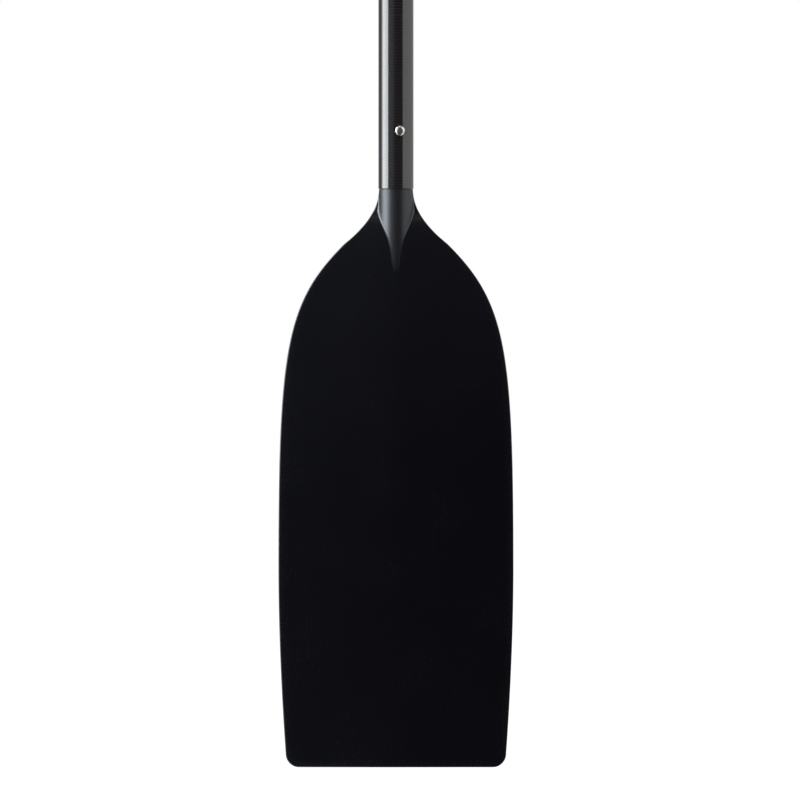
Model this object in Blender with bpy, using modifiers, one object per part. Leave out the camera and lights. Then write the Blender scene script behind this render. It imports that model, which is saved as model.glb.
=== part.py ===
"""Take-apart canoe paddle: a moulded blade, a wound carbon shaft in two lengths and a T-grip.

Metres, +Z up the shaft and -Y out of the power face. The origin lies on the shaft's
axis at the seam between the blade's neck and the shaft. Each joint is a ferrule, bonded
into the lower piece, that the upper tube slides over, and a sprung button locks it.
"""

import math

import bmesh
import bpy
from mathutils import Matrix, Vector
from mathutils.geometry import interpolate_bezier

MM = 0.001
UP = Vector((0, 0, 1))
SHARP_ANGLE = math.radians(50)
MERGE_DISTANCE = 0.01 * MM

# Clearances
GAP = 0.3 * MM
CUT_MARGIN = 1.0 * MM

# Shaft tubes
TUBE_RADIUS = 15.2 * MM
TUBE_WALL = 2.2 * MM
TUBE_BORE = TUBE_RADIUS - TUBE_WALL
SHAFT_LENGTH = 470 * MM
GRIP_TUBE_LENGTH = 410 * MM
END_CHAMFER = 0.25 * MM
TUBE_SIDES = 56

# Snap buttons, turned round from the power face towards +X
BUTTON_HEIGHT = 50 * MM
BUTTON_TURN = math.radians(13)
BUTTON_DIRECTION = Vector((math.sin(BUTTON_TURN), -math.cos(BUTTON_TURN), 0))
BUTTON_RADIUS = 4.2 * MM
BUTTON_PROUD = 2.8 * MM
SHOULDER_WIDTH = 2.0 * MM
SHOULDER_TOP_SLOPE = math.radians(28)
SHOULDER_FOOT_SLOPE = math.radians(46)
SHOULDER_STEPS = 6
BUTTON_SIDES = 28
BUTTON_HOLE_CLEARANCE = 0.8 * MM
BUTTON_HOLE_SIDES = 32
RIVET_RADIUS = 2.0 * MM
RIVET_HEAD_RIM = 1.2 * MM
RIVET_HEAD_HEIGHT = 1.0 * MM
RIVET_HOLE_SIDES = 20

# Spring clips
CLIP_WIDTH = 10 * MM
CLIP_THICKNESS = 0.9 * MM
CLIP_END_ABOVE_BUTTON = 8 * MM
CLIP_STRAIGHT_BELOW_BUTTON = 26 * MM
CLIP_BEND_STEPS = 12

# Ferrules
FERRULE_RADIUS = TUBE_BORE - GAP
FERRULE_WALL = 1.7 * MM
FERRULE_BORE = FERRULE_RADIUS - FERRULE_WALL
FERRULE_SEAT = 80 * MM
FERRULE_ABOVE_BUTTON = 50 * MM
FERRULE_PROUD = BUTTON_HEIGHT + FERRULE_ABOVE_BUTTON
FERRULE_CHAMFER = 0.2 * MM
FERRULE_SIDES = 48
CAP_FLANGE = 2.0 * MM
CAP_PLUG_LENGTH = 10 * MM
CAP_CHAMFER = 0.8 * MM

# Foam bulkheads that keep water out of the tubes
BULKHEAD_LENGTH = 22 * MM
BULKHEAD_CLEARANCE = 8 * MM

# Blade outline, as half widths and depths below the seam
BLADE_LENGTH = 500 * MM
BLADE_HALF_WIDTH = 101.6 * MM
NECK_STEP = 0.45 * MM
NECK_RADIUS = TUBE_RADIUS - NECK_STEP
FLARE_DEPTH = 48 * MM
FLARE_HALF_WIDTH = 45 * MM
FLARE_SLOPE = 1.0
FLARE_TOP_PULL = 0.54
FLARE_FOOT_PULL = 0.083
SHOULDER_TOP_PULL = 0.252
SHOULDER_FOOT_PULL = 0.688
OUTLINE_POINTS = 200
WIDEST_ABOVE_TIP = 170 * MM
TIP_NARROWING = 7.1 * MM
SIDE_BOW = 1.8
TIP_CORNER_RADIUS = 10.5 * MM

# Blade plate and its ramp up to the front of the neck
EDGE_THICKNESS = 3.0 * MM
EDGE_ROUND = 1.5 * MM
TIP_FLAT_SHARE = 0.13
PLATE_THICKNESS = 6.0 * MM
TIP_THICKNESS = 4.0 * MM
RAMP_START = 17 * MM
RAMP_LENGTH = 15.3 * MM
RAMP_BOW = 1.5
TIP_SETBACK = 9.0 * MM
SETBACK_START = FERRULE_SEAT
SETBACK_BOW = 1.5
RIDGE_SLOPE = 0.02
RIDGE_ROUND = 8 * MM
WEB_FILLET = 3.5 * MM
WEB_FILLET_SHARE = 0.7
TONGUE_FILLET = 0.6 * MM

# Tongue on the blade's front and spine on its back, which carry the neck on
TONGUE_PROUD = 0.42 * MM
TONGUE_END = 45 * MM
TONGUE_FADE = 277 * MM
SPINE_BELOW_SOCKET = 12 * MM
SPINE_START = FERRULE_SEAT + SPINE_BELOW_SOCKET
SPINE_END_ABOVE_TIP = 150 * MM
SPINE_END = BLADE_LENGTH - SPINE_END_ABOVE_TIP
SPINE_END_WIDTH = 6 * MM
SPINE_FILLET = 8 * MM
SPINE_FLANK = 2.5

# Blade mesh: sections down the blade, closer together as far as the foot of the tongue,
# and columns over the neck or spine and beside it
TONGUE_FOOT = 85 * MM
NECK_SECTIONS = 22
SPINE_SECTIONS = 10
LOWER_SECTIONS = 7
CORNER_SECTIONS = 6
CORE_COLUMNS = 7
CORE_ANGLE = math.radians(76)
WING_COLUMNS = 6
WING_CROWDING = 1.25
EDGE_COLUMN_SHARE = 0.3

# T-grip, with places out along an arm and down the stem as shares of each
GRIP_WIDTH = 104 * MM
GRIP_DEPTH = 33 * MM
GRIP_HEIGHT = 68 * MM
GRIP_BAR_HEIGHT = 31 * MM
GRIP_ROOT_WIDTH = 38 * MM
GRIP_END_HEIGHT = 26 * MM
GRIP_END_DEPTH = 27 * MM
GRIP_END_DROOP = 2.5 * MM
GRIP_STEM_FLARE = 33 * MM
GRIP_ARM_RINGS = (0.5, 0.9, 1.0)
GRIP_FLARE_RING = 0.25
GRIP_STEM_RINGS = (0.6, 1.3)
GRIP_ROUNDNESS = 2
GRIP_PLUG_LENGTH = 45 * MM
GRIP_PLUG_INTO_STEM = 17 * MM
GRIP_PLUG_CHAMFER = 1.0 * MM

UPPER_SEAM = SHAFT_LENGTH
GRIP_SEAM = UPPER_SEAM + GRIP_TUBE_LENGTH


def clear_scene():
    for old in list(bpy.data.objects):
        bpy.data.objects.remove(old, do_unlink=True)


def new_collection(name):
    collection = bpy.data.collections.new(name)
    bpy.context.scene.collection.children.link(collection)
    return collection


def new_material(name, colour, roughness, metallic=0.0):
    material = bpy.data.materials.new(name)
    material.use_nodes = True
    shader = material.node_tree.nodes["Principled BSDF"]
    shader.inputs["Base Color"].default_value = (*colour, 1)
    shader.inputs["Roughness"].default_value = roughness
    shader.inputs["Metallic"].default_value = metallic
    return material


clear_scene()
PADDLE = new_collection("canoe_paddle")
CUTTERS = new_collection("cutters")

BLADE_PLASTIC = new_material("blade_plastic", (0.012, 0.012, 0.014), 0.45)
CARBON = new_material("wound_carbon", (0.02, 0.02, 0.022), 0.2)
FERRULE_LAMINATE = new_material("ferrule_laminate", (0.05, 0.05, 0.05), 0.5)
CAP_PLASTIC = new_material("cap_plastic", (0.03, 0.03, 0.03), 0.6)
FOAM = new_material("bulkhead_foam", (0.75, 0.75, 0.72), 0.9)
SPRING_STEEL = new_material("spring_steel", (0.55, 0.55, 0.55), 0.35, 1.0)
BUTTON_STEEL = new_material("button_steel", (0.8, 0.8, 0.8), 0.12, 1.0)
GRIP_PLASTIC = new_material("grip_plastic", (0.015, 0.015, 0.016), 0.5)


def add_object(name, bm, material):
    """Makes a named piece of the paddle from a finished bmesh."""
    bmesh.ops.recalc_face_normals(bm, faces=bm.faces)
    mesh = bpy.data.meshes.new(name)
    bm.to_mesh(mesh)
    bm.free()
    mesh.materials.append(material)
    mesh.shade_smooth()
    mesh.set_sharp_from_angle(angle=SHARP_ANGLE)
    obj = bpy.data.objects.new(name, mesh)
    PADDLE.objects.link(obj)
    return obj


def hide_cutter(cutter):
    cutter.hide_render = True
    cutter.display_type = "WIRE"
    return cutter


def boolean(target, cutter, operation="DIFFERENCE"):
    modifier = target.modifiers.new(cutter.name, "BOOLEAN")
    modifier.operation = operation
    modifier.solver = "EXACT"
    modifier.object = cutter


def turned(name, profile, sides, material, collection=PADDLE):
    """Turns a profile of (radius, height) points, listed from the top down, about Z.

    A profile that starts and ends on the axis is solid, and a loop clear of it is a ring.
    """
    mesh = bpy.data.meshes.new(name)
    closed = profile[0][0] > 0
    edges = [(i, i + 1) for i in range(len(profile) - 1)]
    if closed:
        edges.append((len(profile) - 1, 0))
    mesh.from_pydata([(radius, 0, height) for radius, height in profile], edges, [])
    obj = bpy.data.objects.new(name, mesh)
    collection.objects.link(obj)
    if material:
        mesh.materials.append(material)
    screw = obj.modifiers.new("turn", "SCREW")
    screw.steps = sides
    screw.render_steps = sides
    screw.use_merge_vertices = True
    screw.merge_threshold = MERGE_DISTANCE
    screw.use_smooth_shade = True
    return obj


def frame_along(direction, point):
    """The matrix that takes +Z to a direction and the origin to a point."""
    return Matrix.Translation(point) @ direction.to_track_quat("Z", "Y").to_matrix().to_4x4()


def tube_profile(radius, bore, bottom, top, chamfer):
    return [
        (radius - chamfer, top),
        (radius, top - chamfer),
        (radius, bottom + chamfer),
        (radius - chamfer, bottom),
        (bore, bottom),
        (bore, top),
    ]


def drill_at_button(target, seam, radius, sides):
    """Drills a piece along a button's axis, from the shaft's axis outwards."""
    reach = TUBE_RADIUS + CUT_MARGIN
    profile = [(0, reach), (radius, reach), (radius, 0), (0, 0)]
    drill = turned(f"{target.name}_hole", profile, sides, None, CUTTERS)
    drill.matrix_world = frame_along(BUTTON_DIRECTION, (0, 0, seam + BUTTON_HEIGHT))
    boolean(target, hide_cutter(drill))


def ease(share):
    """A smooth step from 0 to 1."""
    share = min(max(share, 0), 1)
    return share * share * (3 - 2 * share)


def soft_max(a, b, width):
    """The larger of two heights, with a fillet where they lie within a width of each other."""
    if width <= 0:
        return max(a, b)
    return max(a, b) + max(width - abs(a - b), 0) ** 2 / (4 * width)


def shoulder_outline():
    """Points of (depth, half width) from the seam round the shoulder to the widest place."""
    lean = Vector((1, FLARE_SLOPE)).normalized()
    seam = Vector((0, NECK_RADIUS))
    flare = Vector((FLARE_DEPTH, FLARE_HALF_WIDTH))
    widest = Vector((BLADE_LENGTH - WIDEST_ABOVE_TIP, BLADE_HALF_WIDTH))
    along = Vector((1, 0))
    shoulder = widest.x - flare.x
    spans = [
        (
            seam,
            seam + along * FLARE_DEPTH * FLARE_TOP_PULL,
            flare - lean * FLARE_DEPTH * FLARE_FOOT_PULL,
            flare,
        ),
        (
            flare,
            flare + lean * shoulder * SHOULDER_TOP_PULL,
            widest - along * shoulder * SHOULDER_FOOT_PULL,
            widest,
        ),
    ]
    points = []
    for span in spans:
        points += interpolate_bezier(*[point.to_3d() for point in span], OUTLINE_POINTS)
    return points


SHOULDER = shoulder_outline()


def half_width(depth):
    """The blade's half width at a depth below the seam."""
    if depth <= 0:
        return NECK_RADIUS
    above_tip = BLADE_LENGTH - depth
    if above_tip > WIDEST_ABOVE_TIP:
        for low, high in zip(SHOULDER, SHOULDER[1:]):
            if low.x <= depth <= high.x and high.x > low.x:
                return low.y + (high.y - low.y) * (depth - low.x) / (high.x - low.x)
    narrowing = TIP_NARROWING * (1 - above_tip / WIDEST_ABOVE_TIP) ** SIDE_BOW
    into_corner = max(TIP_CORNER_RADIUS - above_tip, 0)
    corner = TIP_CORNER_RADIUS - math.sqrt(TIP_CORNER_RADIUS**2 - into_corner**2)
    return BLADE_HALF_WIDTH - narrowing - corner


def blade_section(depth, x):
    """Front and back of the blade, as heights in front of the shaft's axis plane."""
    width = half_width(depth)
    ramp = 1 - math.exp(-((max(depth - RAMP_START, 0) / RAMP_LENGTH) ** RAMP_BOW))
    setback_share = max(depth - SETBACK_START, 0) / (BLADE_LENGTH - SETBACK_START)
    setback = TIP_SETBACK * setback_share**SETBACK_BOW
    ridge = RIDGE_SLOPE * (math.hypot(x, RIDGE_ROUND) - RIDGE_ROUND)
    middle_thickness = PLATE_THICKNESS + (TIP_THICKNESS - PLATE_THICKNESS) * depth / BLADE_LENGTH
    thickness = EDGE_THICKNESS + (middle_thickness - EDGE_THICKNESS) * (1 - (x / width) ** 2)
    flush = NECK_RADIUS - TONGUE_PROUD - EDGE_THICKNESS / 2
    face = EDGE_THICKNESS / 2 + (flush - ridge) * ramp - setback
    middle = face - thickness / 2

    to_edge = min(width - abs(x), BLADE_LENGTH - depth + TIP_FLAT_SHARE * EDGE_ROUND)
    inward = min(max(to_edge / EDGE_ROUND, 0), 1)
    half = thickness / 2 * math.sqrt(1 - (1 - inward) ** 2)
    front = middle + half
    back = middle - half

    spine = spine_share(depth)
    spine_centre = middle * (1 - spine)
    spine_sink = SPINE_FILLET * (1 - spine)
    rib = round_height(x, NECK_RADIUS * spine, spine_width(depth)) - spine_centre - spine_sink
    wing = max(width - NECK_RADIUS, 0)
    drop = NECK_RADIUS * ease((depth - TONGUE_END) / TONGUE_FADE)
    web_fillet = TONGUE_FILLET + (WEB_FILLET - TONGUE_FILLET) * (1 - ramp)
    front = tongue_front(x, front, drop, min(web_fillet, wing * WEB_FILLET_SHARE))
    back = -soft_max(-back, rib, min(SPINE_FILLET, wing))
    return front, back


def tongue_front(x, face, drop, fillet):
    """The neck's round, lowered by a drop, where it stands out of the face, with its fillet."""
    level = face + drop
    if level >= NECK_RADIUS:
        return face
    out = math.sqrt((NECK_RADIUS + fillet) ** 2 - (level + fillet) ** 2)
    meeting = out * NECK_RADIUS / (NECK_RADIUS + fillet)
    if abs(x) <= meeting:
        return math.sqrt(NECK_RADIUS**2 - x**2) - drop
    if abs(x) < out:
        return face + fillet - math.sqrt(fillet**2 - (out - abs(x)) ** 2)
    return face


def round_height(x, height, width):
    """Half an ellipse over the middle, and a steep flank that drops away on either side."""
    if abs(x) < width:
        return height * math.sqrt(1 - (x / width) ** 2)
    return -SPINE_FLANK * (abs(x) - width)


def spine_share(depth):
    """How much of the full neck is left in the spine at a depth, from 1 to 0."""
    return 1 - ease((depth - SPINE_START) / (SPINE_END - SPINE_START))


def spine_width(depth):
    """Half the width of the spine, which is the neck's own at first."""
    return SPINE_END_WIDTH + (NECK_RADIUS - SPINE_END_WIDTH) * spine_share(depth)


def section_columns(depth):
    """Places across one section: round the neck or spine first, then out over the plate."""
    half = []
    for step in range(CORE_COLUMNS + 1):
        half.append(spine_width(depth) * math.sin(CORE_ANGLE * step / CORE_COLUMNS))
    core = half[-1]
    edge = half_width(depth)
    rounding = min(EDGE_ROUND, (edge - core) / 3)
    flat = edge - rounding
    for step in range(1, WING_COLUMNS + 1):
        share = ((1 - math.cos(math.pi * step / WING_COLUMNS)) / 2) ** WING_CROWDING
        half.append(core + (flat - core) * share)
    half += [edge - rounding * EDGE_COLUMN_SHARE, edge]
    return [-x for x in reversed(half[1:])] + half


def blade_depths():
    """Depths of the sections, close together at the neck and round the tip's corners."""
    top = END_CHAMFER + GAP / 2
    spine_middle = (SPINE_START + SPINE_END) / 2
    corner_start = BLADE_LENGTH - TIP_CORNER_RADIUS
    spans = [
        (top, TONGUE_FOOT, range(1, NECK_SECTIONS + 1)),
        (TONGUE_FOOT, spine_middle, range(1, SPINE_SECTIONS + 1)),
        (spine_middle, corner_start, range(1, LOWER_SECTIONS + 1)),
    ]
    depths = [top]
    for start, end, steps in spans:
        depths += [start + (end - start) * step / len(steps) for step in steps]
    for step in range(CORNER_SECTIONS - 1, -1, -1):
        rise = TIP_CORNER_RADIUS * (1 - math.cos(math.pi / 2 * step / CORNER_SECTIONS))
        depths.append(BLADE_LENGTH - rise)
    return depths


def blade_ring(bm, depth, shrink, level):
    """One closed section of the blade, as vertices round it from the left edge."""
    columns = section_columns(depth)
    ring = []
    for x in columns:
        ring.append(bm.verts.new((x * shrink, -blade_section(depth, x)[0] * shrink, level)))
    for x in reversed(columns[1:-1]):
        ring.append(bm.verts.new((x * shrink, -blade_section(depth, x)[1] * shrink, level)))
    return ring


def cap_ring(bm, ring):
    """Closes a section with strips from its front to its back."""
    last = len(ring)
    for i in range(last // 2):
        corners = [ring[i], ring[i + 1], ring[(last - i - 1) % last], ring[(last - i) % last]]
        unique = list(dict.fromkeys(corners))
        bm.faces.new(unique)


def make_blade():
    """The moulded blade with its hollow neck."""
    bm = bmesh.new()
    shrink = 1 - END_CHAMFER / NECK_RADIUS
    rings = [blade_ring(bm, 0, shrink, -GAP / 2)]
    rings += [blade_ring(bm, depth, 1, -depth) for depth in blade_depths()]
    for upper, lower in zip(rings, rings[1:]):
        count = len(upper)
        for i in range(count):
            j = (i + 1) % count
            bm.faces.new((upper[i], upper[j], lower[j], lower[i]))
    cap_ring(bm, rings[0])
    cap_ring(bm, rings[-1])
    blade = add_object("blade", bm, BLADE_PLASTIC)
    floor = -FERRULE_SEAT - GAP
    profile = [(0, CUT_MARGIN), (TUBE_BORE, CUT_MARGIN), (TUBE_BORE, floor), (0, floor)]
    socket = turned("neck_socket", profile, FERRULE_SIDES, None, CUTTERS)
    boolean(blade, hide_cutter(socket))


def make_tube(name, seam, length):
    """A wound tube that stands on a seam, drilled for the button of the joint below it."""
    top = seam + length - GAP / 2
    profile = tube_profile(TUBE_RADIUS, TUBE_BORE, seam + GAP / 2, top, END_CHAMFER)
    tube = turned(name, profile, TUBE_SIDES, CARBON)
    drill_at_button(tube, seam, BUTTON_RADIUS + BUTTON_HOLE_CLEARANCE, BUTTON_HOLE_SIDES)


def make_ferrule(name, seam):
    """The tube that joins two lengths, bonded in below the seam and proud above it."""
    foot = seam - FERRULE_SEAT
    top = seam + FERRULE_PROUD - CAP_FLANGE - GAP
    profile = tube_profile(FERRULE_RADIUS, FERRULE_BORE, foot, top, FERRULE_CHAMFER)
    ferrule = turned(name, profile, FERRULE_SIDES, FERRULE_LAMINATE)
    drill_at_button(ferrule, seam, BUTTON_RADIUS + GAP, BUTTON_HOLE_SIDES)


def make_ferrule_cap(name, seam):
    """The plug that keeps water out of a ferrule."""
    top = seam + FERRULE_PROUD
    plug = FERRULE_BORE - GAP
    foot = top - CAP_FLANGE - GAP - CAP_PLUG_LENGTH
    profile = [
        (0, top),
        (FERRULE_RADIUS - CAP_CHAMFER, top),
        (FERRULE_RADIUS, top - CAP_CHAMFER),
        (FERRULE_RADIUS, top - CAP_FLANGE),
        (plug, top - CAP_FLANGE),
        (plug, foot + CAP_CHAMFER),
        (plug - CAP_CHAMFER, foot),
        (0, foot),
    ]
    turned(name, profile, FERRULE_SIDES, CAP_PLASTIC)


def make_bulkhead(name, seam):
    """A foam disc bonded into a tube above the ferrule that it slides over."""
    foot = seam + FERRULE_PROUD + BULKHEAD_CLEARANCE
    top = foot + BULKHEAD_LENGTH
    radius = TUBE_BORE - GAP
    profile = [(0, top), (radius, top), (radius, foot), (0, foot)]
    turned(name, profile, FERRULE_SIDES, FOAM)


def clip_reach():
    """How far from the ferrule's axis the clip's outer faces lie, by the strip's corners."""
    return math.sqrt(FERRULE_BORE**2 - (CLIP_WIDTH / 2) ** 2) - GAP


def make_clip(name, seam):
    """A strip bent to a U inside the ferrule, whose front leg carries the button."""
    bend = clip_reach() - CLIP_THICKNESS / 2
    top = CLIP_END_ABOVE_BUTTON
    low = -CLIP_STRAIGHT_BELOW_BUTTON
    path = [(bend, top), (bend, low)]
    for step in range(1, CLIP_BEND_STEPS):
        angle = math.pi * step / CLIP_BEND_STEPS
        path.append((bend * math.cos(angle), low - bend * math.sin(angle)))
    path += [(-bend, low), (-bend, top)]
    bm = bmesh.new()
    line = [bm.verts.new((-CLIP_WIDTH / 2, out, height)) for out, height in path]
    edges = [bm.edges.new(pair) for pair in zip(line, line[1:])]
    swept = bmesh.ops.extrude_edge_only(bm, edges=edges)["geom"]
    moved = [v for v in swept if isinstance(v, bmesh.types.BMVert)]
    bmesh.ops.translate(bm, vec=(CLIP_WIDTH, 0, 0), verts=moved)
    clip = add_object(name, bm, SPRING_STEEL)
    wall = clip.modifiers.new("strip", "SOLIDIFY")
    wall.thickness = CLIP_THICKNESS
    wall.offset = 0
    clip.rotation_euler.z = BUTTON_TURN - math.pi
    clip.location.z = seam + BUTTON_HEIGHT
    drill_at_button(clip, seam, RIVET_RADIUS + GAP, RIVET_HOLE_SIDES)


def make_button(name, seam):
    """The button, with a flat crown and a round shoulder, riveted to the clip's front leg."""
    seat = clip_reach() + GAP
    inner = clip_reach() - CLIP_THICKNESS - GAP
    crown = TUBE_RADIUS + BUTTON_PROUD
    head = RIVET_RADIUS + RIVET_HEAD_RIM
    bend = SHOULDER_WIDTH / (math.sin(SHOULDER_FOOT_SLOPE) - math.sin(SHOULDER_TOP_SLOPE))
    profile = [(0, crown)]
    for step in range(SHOULDER_STEPS + 1):
        turn = (SHOULDER_FOOT_SLOPE - SHOULDER_TOP_SLOPE) * step / SHOULDER_STEPS
        slope = SHOULDER_TOP_SLOPE + turn
        out = bend * (math.sin(SHOULDER_FOOT_SLOPE) - math.sin(slope))
        fall = bend * (math.cos(SHOULDER_TOP_SLOPE) - math.cos(slope))
        profile.append((BUTTON_RADIUS - out, crown - fall))
    profile += [
        (BUTTON_RADIUS, seat),
        (RIVET_RADIUS, seat),
        (RIVET_RADIUS, inner),
        (head, inner),
        (head, inner - RIVET_HEAD_HEIGHT),
        (0, inner - RIVET_HEAD_HEIGHT),
    ]
    button = turned(name, profile, BUTTON_SIDES, BUTTON_STEEL)
    button.matrix_world = frame_along(BUTTON_DIRECTION, (0, 0, seam + BUTTON_HEIGHT))


def grow(bm, face, centre, size):
    """Extrudes a face of a cage, and gives the new face its centre and size."""
    grown = bmesh.ops.extrude_discrete_faces(bm, faces=[face])["faces"][0]
    middle = grown.calc_center_median()
    for corner in grown.verts:
        ways = corner.co - middle
        corner.co = [
            place + math.copysign(span / 2, way)
            for place, span, way in zip(centre, size, ways)
        ]
    return grown


def facing(bm, direction):
    """The cage's face that lies furthest along a direction."""
    return max(bm.faces, key=lambda face: face.calc_center_median().dot(direction))


def grip_cage():
    """A coarse T about the grip's own axis: a block with two arms and a stem grown from it."""
    bm = bmesh.new()
    bmesh.ops.create_cube(bm, size=1)
    middle = GRIP_HEIGHT - GRIP_BAR_HEIGHT / 2
    bmesh.ops.scale(bm, vec=(GRIP_ROOT_WIDTH, GRIP_DEPTH, GRIP_BAR_HEIGHT), verts=bm.verts)
    bmesh.ops.translate(bm, vec=(0, 0, middle), verts=bm.verts)
    sides = [facing(bm, Vector((way, 0, 0))) for way in (-1, 1)]
    under = facing(bm, -UP)
    reach = (GRIP_WIDTH - GRIP_ROOT_WIDTH) / 2
    for way, face in zip((-1, 1), sides):
        for out in GRIP_ARM_RINGS:
            centre = (way * (GRIP_ROOT_WIDTH / 2 + reach * out), 0, middle - GRIP_END_DROOP * out)
            depth = GRIP_DEPTH + (GRIP_END_DEPTH - GRIP_DEPTH) * out
            height = GRIP_BAR_HEIGHT + (GRIP_END_HEIGHT - GRIP_BAR_HEIGHT) * out
            face = grow(bm, face, centre, (0, depth, height))
    stem = GRIP_HEIGHT - GRIP_BAR_HEIGHT
    rings = [(GRIP_FLARE_RING, GRIP_STEM_FLARE)]
    rings += [(down, 2 * TUBE_RADIUS) for down in GRIP_STEM_RINGS]
    for down, width in rings:
        under = grow(bm, under, (0, 0, stem * (1 - down)), (width, width, 0))
    return bm


def fair_grip(grip):
    """Bakes the rounding, sets the true size and makes the stem's foot round and flat."""
    graph = bpy.context.evaluated_depsgraph_get()
    mesh = bpy.data.meshes.new_from_object(grip.evaluated_get(graph))
    grip.modifiers.clear()
    bm = bmesh.new()
    bm.from_mesh(mesh)
    width = max(v.co.x for v in bm.verts)
    depth = max(v.co.y for v in bm.verts)
    top = max(v.co.z for v in bm.verts)
    factors = (GRIP_WIDTH / 2 / width, GRIP_DEPTH / 2 / depth, GRIP_HEIGHT / top)
    bmesh.ops.scale(bm, vec=factors, verts=bm.verts)
    cut = bmesh.ops.bisect_plane(
        bm,
        geom=bm.verts[:] + bm.edges[:] + bm.faces[:],
        plane_co=(0, 0, GAP / 2),
        plane_no=UP,
        clear_inner=True,
    )
    rim = [part for part in cut["geom_cut"] if isinstance(part, bmesh.types.BMEdge)]
    bmesh.ops.contextual_create(bm, geom=rim)
    stem = GRIP_HEIGHT - GRIP_BAR_HEIGHT
    for v in bm.verts:
        out = math.hypot(v.co.x, v.co.y)
        if v.co.z < stem and out > 0:
            roundness = 1 - ease(v.co.z / stem)
            radius = out + (TUBE_RADIUS - out) * roundness
            v.co.x *= radius / out
            v.co.y *= radius / out
    bm.to_mesh(mesh)
    bm.free()
    grip.data = mesh


def make_t_grip():
    """The moulded cross bar, its stem and the plug that is bonded into the tube."""
    grip = add_object("t_grip", grip_cage(), GRIP_PLASTIC)
    rounded = grip.modifiers.new("rounded", "SUBSURF")
    rounded.levels = GRIP_ROUNDNESS
    rounded.render_levels = GRIP_ROUNDNESS
    fair_grip(grip)
    radius = TUBE_BORE - GAP
    foot = -GRIP_PLUG_LENGTH
    profile = [
        (0, GRIP_PLUG_INTO_STEM),
        (radius, GRIP_PLUG_INTO_STEM),
        (radius, foot + GRIP_PLUG_CHAMFER),
        (radius - GRIP_PLUG_CHAMFER, foot),
        (0, foot),
    ]
    plug = turned("grip_plug", profile, FERRULE_SIDES, None, CUTTERS)
    boolean(grip, hide_cutter(plug), "UNION")
    grip.location.z = GRIP_SEAM
    plug.location.z = GRIP_SEAM


def make_joint(below, above, level, seam):
    """A ferrule with its cap, clip and button, named for the lengths below and above it."""
    make_ferrule(f"{below}_ferrule", seam)
    make_ferrule_cap(f"{below}_ferrule_cap", seam)
    make_clip(f"{level}_spring_clip", seam)
    make_button(f"{level}_snap_button", seam)
    make_bulkhead(f"{above}_bulkhead", seam)


make_blade()
make_tube("shaft_tube", 0, SHAFT_LENGTH)
make_tube("grip_tube", UPPER_SEAM, GRIP_TUBE_LENGTH)
make_joint("blade", "shaft", "lower", 0)
make_joint("shaft", "grip", "upper", UPPER_SEAM)
make_t_grip()
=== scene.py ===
"""Take-apart canoe paddle in a white studio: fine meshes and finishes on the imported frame."""

import bisect
import math

import bmesh
import bpy
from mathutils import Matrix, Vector
from mathutils.geometry import interpolate_bezier


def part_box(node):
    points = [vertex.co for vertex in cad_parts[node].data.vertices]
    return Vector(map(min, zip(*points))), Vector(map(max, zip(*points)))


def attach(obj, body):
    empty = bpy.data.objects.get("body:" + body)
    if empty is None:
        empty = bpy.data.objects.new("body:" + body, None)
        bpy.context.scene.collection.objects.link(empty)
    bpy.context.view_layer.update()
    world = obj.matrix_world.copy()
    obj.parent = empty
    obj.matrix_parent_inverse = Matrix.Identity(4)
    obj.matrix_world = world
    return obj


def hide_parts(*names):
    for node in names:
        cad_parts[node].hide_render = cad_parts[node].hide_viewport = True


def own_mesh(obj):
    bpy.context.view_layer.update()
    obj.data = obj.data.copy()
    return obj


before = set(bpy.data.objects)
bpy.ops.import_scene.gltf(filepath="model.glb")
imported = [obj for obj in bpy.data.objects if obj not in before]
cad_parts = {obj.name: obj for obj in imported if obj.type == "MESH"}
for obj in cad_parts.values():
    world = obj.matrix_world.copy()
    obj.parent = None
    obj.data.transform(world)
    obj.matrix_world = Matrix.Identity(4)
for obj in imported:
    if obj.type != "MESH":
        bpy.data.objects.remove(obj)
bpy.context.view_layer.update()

MM = 0.001
UP = Vector((0, 0, 1))
MERGE = 0.001 * MM
SHARP_ANGLE = math.radians(40)
SOFTENED_ANGLE = math.radians(60)

# Clearances and the joints' seams, as the frame's pieces have them
GAP = 0.3 * MM
UPPER_SEAM = 470 * MM
GRIP_SEAM = 880 * MM

# Shaft tubes and the ferrules inside them
TUBE_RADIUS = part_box("shaft_tube")[1].x
TUBE_BORE = 13.0 * MM
WINDING_PITCH = 2.62 * MM
END_ROUND = 0.25 * MM
FERRULE_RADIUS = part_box("blade_ferrule")[1].x
FERRULE_BORE = 11.0 * MM
FERRULE_ROUND = 0.25 * MM
FERRULE_SEAT = 80 * MM
FERRULE_PROUD = 100 * MM
CAP_FLANGE = 2.0 * MM
CAP_PLUG_LENGTH = 10 * MM
CAP_ROUND = 0.8 * MM
TUBE_STEPS = 144
FERRULE_STEPS = 96

# Snap buttons and their spring clips
BUTTON_HEIGHT = 50 * MM
BUTTON_TURN = math.radians(13)
BUTTON_DIRECTION = Vector((math.sin(BUTTON_TURN), -math.cos(BUTTON_TURN), 0))
BUTTON_RADIUS = 4.2 * MM
BUTTON_PROUD = 2.8 * MM
BUTTON_HOLE_CLEARANCE = 0.8 * MM
BUTTON_HOLE_BAND = 1.6 * BUTTON_RADIUS
DRILL_REACH = 1.5 * TUBE_RADIUS
SHOULDER_WIDTH = 2.0 * MM
SHOULDER_TOP_SLOPE = math.radians(28)
SHOULDER_FOOT_SLOPE = math.radians(46)
SHOULDER_STEPS = 16
CROWN_SOFTENING = 0.3 * MM
CROWN_SEGMENTS = 4
BUTTON_STEPS = 72
RIVET_RADIUS = 2.0 * MM
RIVET_HEAD_RIM = 1.2 * MM
RIVET_HEAD_HEIGHT = 1.0 * MM
CLIP_WIDTH = 10 * MM
CLIP_THICKNESS = 0.9 * MM
CLIP_ROUND = 0.15 * MM
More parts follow.
